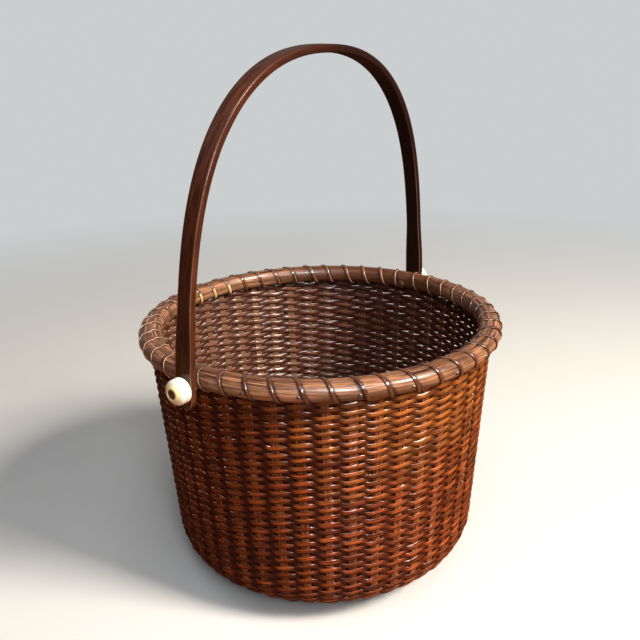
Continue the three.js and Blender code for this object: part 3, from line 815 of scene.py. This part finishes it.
def lashing_turn():
    """One turn of the cane as radius, height and share of the pitch, from inside to outside."""
    rise = np.linspace(-math.pi / 2, math.pi / 2, steps_up)
    fall = rise[::-1]
    in_out, in_up = half_round(rise, inner_reach + lashing_lift, inner_height + 2 * lashing_rise)
    out_out, out_up = half_round(fall, outer_width + lashing_lift, outer_height + 2 * lashing_rise)
    radius = np.concatenate([inner_face - in_out, outer_face + out_out])
    height = np.concatenate([inner_middle + in_up, outer_middle + out_up])
    shift = np.concatenate([lashing_shift(rise, True), lashing_shift(fall, False)])
    return radius, height, shift


def lashing(name, node, first, last, start_reach, end_reach):
    """Joins the turns from first to last into one flat strip with a low round top."""
    radius, height, shift = lashing_turn()
    turns = np.arange(first, last + 1)
    reach = np.ones((len(turns), len(shift)))
    reach[0, shift < 0] = 2 * start_reach
    reach[-1, shift > 0] = 2 * end_reach
    uneven = chance.normal(0, 0.03, (len(turns), 1)) + chance.normal(0, 0.03, (len(turns), 1)) * shift * 2
    place = turns[:, None] + (shift + uneven) * reach
    angle = (math.pi + place * stave_pitch).ravel()
    r, z = np.tile(radius, len(turns)), np.tile(height, len(turns))
    centre = ring_points(r, angle, z)
    around_middle = np.stack([r - cap_middle, z - outer_middle], 1)
    slope_r, slope_z = np.gradient(r), np.gradient(z)
    normal_r, normal_z = -slope_z, slope_r
    facing = np.sign(normal_r * around_middle[:, 0] + normal_z * around_middle[:, 1])
    size = np.hypot(normal_r, normal_z) * facing
    outward = ring_points(normal_r / size, angle, normal_z / size)
    along = np.gradient(centre, axis=0)
    along /= np.linalg.norm(along, axis=1)[:, None]
    across = np.cross(along, outward)
    across /= np.linalg.norm(across, axis=1)[:, None]
    side = np.array([-1, -0.82, -0.4, 0, 0.4, 0.82, 1, 0.8, 0, -0.8])
    lift = np.array([-0.1, 0.55, 0.9, 1, 0.9, 0.55, -0.1, -1, -1, -1])
    widths = lashing_width * (1 + wander(len(r), len(turns) * 2, 0.05))
    grid = (
        centre[:, None]
        + across[:, None] * (side[None] * widths[:, None] / 2)[..., None]
        + outward[:, None] * (lift * lashing_thickness / 2)[None, :, None]
    )
    run = np.concatenate([[0], np.cumsum(np.linalg.norm(np.diff(centre, axis=0), axis=1))])
    rounds = np.linspace(0, 2 * (lashing_width + lashing_thickness), len(side) + 1)
    ridge = np.where(lift > -0.5, np.clip((np.abs(side) - 0.6) / 0.3, 0, 1), 0)
    unworn = side_share(angle, faded_and_lit_turn, gain=2, loss=0.2)
    ridge = ridge[None] * (1 - 0.8 * unworn)[:, None]
    scraped = (turns >= bare_turns[0]) & (turns <= bare_turns[1])
    bare = scraped[:, None] & (np.abs(shift + 0.33) < 0.13)[None]
    piece = skin(name, grid, run + first, rounds, masks={"ridge": ridge, "bare": bare.ravel()[:, None]})
    piece.data.materials.append(lashing_material)
    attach(piece, "basket")
    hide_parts(node)


lashing("lashing_strip_right", "rim_lashing_right", 1, far_turn, 0.5, 0.25)
lashing("lashing_strip_left", "rim_lashing_left", far_turn + 1, stave_count, 0.15, 0.5)

# Brads. Small round-headed nails through the outer hoop, just before every second turn of the
# lashing, that hold the hoop to the staves. Their heads are dull metal, dark and paler in tarnished patches.
brad_radius = 1.3 * mm
brad_height = 0.7 * mm
brad_turn = math.radians(-9)
brad_after_turn = 1.09
brad_sides = 12
brad_dome = np.linspace(0.02, math.pi / 2, 6)
dome_r = np.concatenate([np.sin(brad_dome), [0.9]]) * brad_radius
dome_h = np.concatenate([np.cos(brad_dome), [-0.6]]) * brad_height
dome_turn = np.arange(brad_sides) / brad_sides * 2 * math.pi
brad_out, brad_up = half_round(np.array([brad_turn]), outer_width, outer_height)
brad_centre_z = outer_middle + brad_up[0]
brad_material, brad_tree, brad_shader = new_material("dull nail metal")
brad_place = brad_tree.nodes.new("ShaderNodeTexCoord")
tarnish = ramp(brad_tree, noise(brad_tree, brad_place.outputs["Object"], 1500.0), 0.35, 0.7)
brad_colour = mix_colours(brad_tree, tarnish, (0.06, 0.035, 0.022, 1), (0.40, 0.34, 0.27, 1))
brad_tree.links.new(brad_colour, brad_shader.inputs["Base Color"])
brad_shader.inputs["Metallic"].default_value = 0.8
brad_shader.inputs["Roughness"].default_value = 0.28
for k in range(1, stave_count - 1, 2):
    angle = math.pi + (k + brad_after_turn + chance.normal(0, 0.04)) * stave_pitch
    out_way = Vector((math.cos(angle), math.sin(angle), -0.18)).normalized()
    side_way = Vector((-math.sin(angle), math.cos(angle), 0))
    up_way = out_way.cross(side_way)
    centre = Vector((math.cos(angle), math.sin(angle), 0)) * (outer_face + brad_out[0])
    centre.z = brad_centre_z
    flat = np.outer(np.cos(dome_turn), side_way) + np.outer(np.sin(dome_turn), up_way)
    grid = np.array(centre) + dome_r[:, None, None] * flat[None] + dome_h[:, None, None] * np.array(out_way)
    brad = skin(f"hoop_brad_{k:02d}", grid, np.arange(len(dome_r)) * mm, np.arange(brad_sides + 1) * mm)
    brad.data.materials.append(brad_material)
    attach(brad, "basket")

# Bail handle. One strip of dark wood steamed to a flattened half oval. Its section is a rounded
# rectangle, a little thicker over the crown, and each leg ends in a thin round-ended paddle. The far
# half is painted nearly black and duller as shade, and the edges are painted paler, as wear and as
# painted highlight.
handle_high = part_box("handle")[1]
pivot_height = 165.7 * mm
handle_lean = math.radians(1.95)
paddle_width = 13.4 * mm
paddle_thickness = 4.0 * mm
handle_span = handle_high.x - paddle_thickness / 2
handle_rise = 174.7 * mm
lean_in_share = 0.13
upright_rise = 7.5 * mm
bend_softness = 3.0 * mm
side_power = 2 / 2.32
crown_power = 2 / 3.6
leg_width = 10.6 * mm
crown_width = 12.3 * mm
leg_thickness = 4.3 * mm
crown_thickness = 5.0 * mm
paddle_full = 14.0 * mm
paddle_fades = 50.0 * mm
end_drop = 12.6 * mm
tip_thickness_share = 0.6
bow_steps = 300
end_steps = 14
handle_sides = 48
round_power = 0.32
edge_start = 0.782
edge_width = 0.015
leg_edge_share = 0.95
crown_edge_share = 0.23
dark_from = -118 * mm
dark_to = 45 * mm


def smooth_step(value, low, high):
    """0 below low, 1 above high, and a smooth rise between them."""
    t = np.clip((value - low) / (high - low), 0, 1)
    return t * t * (3 - 2 * t)


bow_turn = math.pi * smooth_step(np.linspace(0, 1, 2400), 0, 1)
bow_z = handle_rise * np.clip(np.sin(bow_turn), 0, 1) ** crown_power
above = bow_z - upright_rise
climb = (above + np.hypot(above, bend_softness)) / 2 / (handle_rise - upright_rise)
bow_reach = handle_span * (1 - lean_in_share * climb)
bow_x = -bow_reach * signed_power(np.cos(bow_turn), side_power)
bow_run = run_along(bow_x, bow_z)
even_run = np.linspace(0, bow_run[-1], bow_steps)
bow_x, bow_z = np.interp(even_run, bow_run, bow_x), np.interp(even_run, bow_run, bow_z)
end_turn = np.radians(np.linspace(8, 90, end_steps))
end_z = paddle_width / 2 * (1 - np.cos(end_turn)) - end_drop
end_share = np.sin(end_turn)
line_x = np.concatenate([np.full(end_steps, -handle_span), bow_x, np.full(end_steps, handle_span)])
line_z = np.concatenate([end_z, bow_z, end_z[::-1]])
line_share = np.concatenate([end_share, np.ones(bow_steps), end_share[::-1]])
tangent_x, tangent_z = np.gradient(line_x), np.gradient(line_z)
tangent_size = np.hypot(tangent_x, tangent_z)
tangent_x, tangent_z = tangent_x / tangent_size, tangent_z / tangent_size
paddle = 1 - smooth_step(line_z, paddle_full, paddle_fades)
crown = np.clip(line_z / handle_rise, 0, 1) ** 2
thickness = leg_thickness + (crown_thickness - leg_thickness) * crown
thickness = thickness + (paddle_thickness - thickness) * paddle
breadth = leg_width + (crown_width - leg_width) * crown
breadth = (breadth + (paddle_width - breadth) * paddle) * line_share
handle_turn = np.arange(handle_sides) / handle_sides * 2 * math.pi
section_out = signed_power(np.cos(handle_turn), round_power)
section_side = signed_power(np.sin(handle_turn), round_power)
tip_share = tip_thickness_share + (1 - tip_thickness_share) * line_share
out = thickness[:, None] / 2 * section_out[None] * tip_share[:, None]
side = breadth[:, None] / 2 * section_side[None]
handle_x = line_x[:, None] - tangent_z[:, None] * out
handle_z = line_z[:, None] + tangent_x[:, None] * out
lean_y = side * math.cos(handle_lean) - handle_z * math.sin(handle_lean)
lean_z = side * math.sin(handle_lean) + handle_z * math.cos(handle_lean)
handle_grid = np.stack([handle_x, lean_y, lean_z + pivot_height], 2)
handle_run = run_along(line_x, line_z)
handle_rounds = np.linspace(0, 2 * (leg_width + leg_thickness), handle_sides + 1)
# Painted highlight as well as wear: the corners are painted paler, most on the legs.
corner_mask = np.clip((np.abs(section_out * section_side) - edge_start) / edge_width, 0, 1)
edge_wear_and_highlight = corner_mask[None] * (leg_edge_share + (crown_edge_share - leg_edge_share) * crown[:, None])
# Painted shade: the far half is painted nearly black.
shaded_far_half = smooth_step(line_x, dark_from, dark_to)[:, None]
handle = skin(
    "bent_handle", handle_grid, handle_run, handle_rounds,
    masks={"edge": edge_wear_and_highlight, "shaded_far_half": shaded_far_half},
)
soften_edges(handle, 60)
handle.data.materials.append(
    wood_material(
        "dark polished handle", (0.036, 0.0088, 0.0033), (0.115, 0.0315, 0.0128), 0.38, 0.44, 0.25,
        marks=(("shaded_far_half", (0.012, 0.0028, 0.0010), 0.92, 0.7), ("edge", (0.50, 0.22, 0.14), 0.62, 0.0)),
        gloss=0.10, spread=0.35, coat_roughness=0.25,
    )
)
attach(handle, "handle")
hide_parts("handle")

# Pins, washers and knobs. On each side a dark peg goes through the rim, a thin bone washer, the
# handle and a turned bone knob of two rounded rings, and its head lies in the knob's end.
knob_low, knob_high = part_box("knob_far")
knob_inner_x = knob_low.x
knob_length = knob_high.x - knob_low.x
knob_radius = 7.6 * mm
knob_sides = 64
peg_end_share = 0.955
washer_inner_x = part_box("washer_far")[0].x
washer_profile = np.array([(1.6, 0), (4.75, 0), (5, 0.25), (5, 0.75), (4.75, 1), (1.6, 1)]) * mm
pin_start_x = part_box("pin_far")[0].x
pin_inner_head = np.array([(0.1, 0), (2.28, 0.1), (2.85, 0.5), (2.85, 1.2), (1.5, 1.3)]) * mm
pin_outer_head = np.array([
    (1.5, -0.6), (2.85, -0.5), (2.85, -0.12), (2.565, 0), (1.425, 0.08), (0.1, 0.1),
]) * mm
knob_shares = np.array([
    (0.0, 0.88), (0.02, 0.925), (0.06, 0.968), (0.11, 0.990), (0.17, 1.0), (0.23, 0.996), (0.285, 0.975),
    (0.325, 0.945), (0.345, 0.930), (0.365, 0.944), (0.41, 0.970), (0.47, 0.985), (0.54, 0.988),
    (0.61, 0.975), (0.69, 0.945), (0.76, 0.885), (0.83, 0.795), (0.90, 0.685), (0.95, 0.605),
    (0.985, 0.555), (1.0, 0.520), (1.0, 0.410), (0.985, 0.380), (0.90, 0.370),
])


def bone_material(name, pale, warm):
    """Polished bone: cream, warmer in cloudy patches and towards the end grain, faint fine lines."""
    material, tree, shader = new_material(name)
    place = tree.nodes.new("ShaderNodeTexCoord").outputs["Object"]
    cloud = noise(tree, place, 220.0, 2.0)
    lines = noise(tree, stretch(tree, place, 300.0, 2500.0, 2500.0), 1.0, 2.0)
    mask = tree.nodes.new("ShaderNodeAttribute")
    mask.attribute_name = "end_face"
    warmth = math_node(tree, "ADD", math_node(tree, "MULTIPLY", cloud, 0.30), mask.outputs["Fac"])
    warmth = ramp(tree, math_node(tree, "ADD", warmth, math_node(tree, "MULTIPLY", lines, 0.15)), 0.2, 1.25)
    tree.links.new(mix_colours(tree, warmth, (*pale, 1), (*warm, 1)), shader.inputs["Base Color"])
    shader.inputs["Roughness"].default_value = 0.28
    shader.inputs["Coat Weight"].default_value = 0.3
    shader.inputs["Subsurface Weight"].default_value = 0.35
    shader.inputs["Subsurface Radius"].default_value = (0.004, 0.0025, 0.0015)
    return material


knob_material = bone_material("polished bone", (0.96, 0.925, 0.79), (0.90, 0.76, 0.38))
washer_material = bone_material("bone washer", (0.90, 0.84, 0.70), (0.70, 0.52, 0.30))
peg_material = wood_material("dark peg", (0.030, 0.009, 0.004), (0.16, 0.055, 0.020), 0.4, 0.2, 0.3)


def on_pin(piece, side):
    """Turns a piece that was made round Z so that Z runs outwards along the pin on that side."""
    lay_down = Matrix.Rotation(side * math.pi / 2, 4, "Y")
    piece.data.transform(Matrix.Translation((0, 0, pivot_height)) @ lay_down)


for place, side in (("near", -1), ("far", 1)):
    profile = np.stack([knob_shares[:, 1] * knob_radius, knob_inner_x + knob_shares[:, 0] * knob_length], 1)
    end_face = smooth_step(knob_shares[:, 0], 0.72, 0.99)[:, None]
    knob = turned(f"bone_knob_{place}", profile, knob_sides, {"end_face": end_face})
    head_x = knob_inner_x + knob_length * peg_end_share
    peg_profile = np.concatenate([pin_inner_head + (0, pin_start_x), pin_outer_head + (0, head_x)])
    peg = turned(f"peg_{place}", peg_profile, 32)
    ring = turned(f"bone_washer_{place}", washer_profile + (0, washer_inner_x), 48)
    for piece, node, material, slot in (
        (knob, f"knob_{place}", knob_material, "bone"),
        (peg, f"pin_{place}", peg_material, "peg_wood"),
        (ring, f"washer_{place}", washer_material, "bone"),
    ):
        on_pin(piece, side)
        soften_edges(piece, 40)
        piece.data.materials.append(material)
        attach(piece, "basket")
        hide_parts(node)
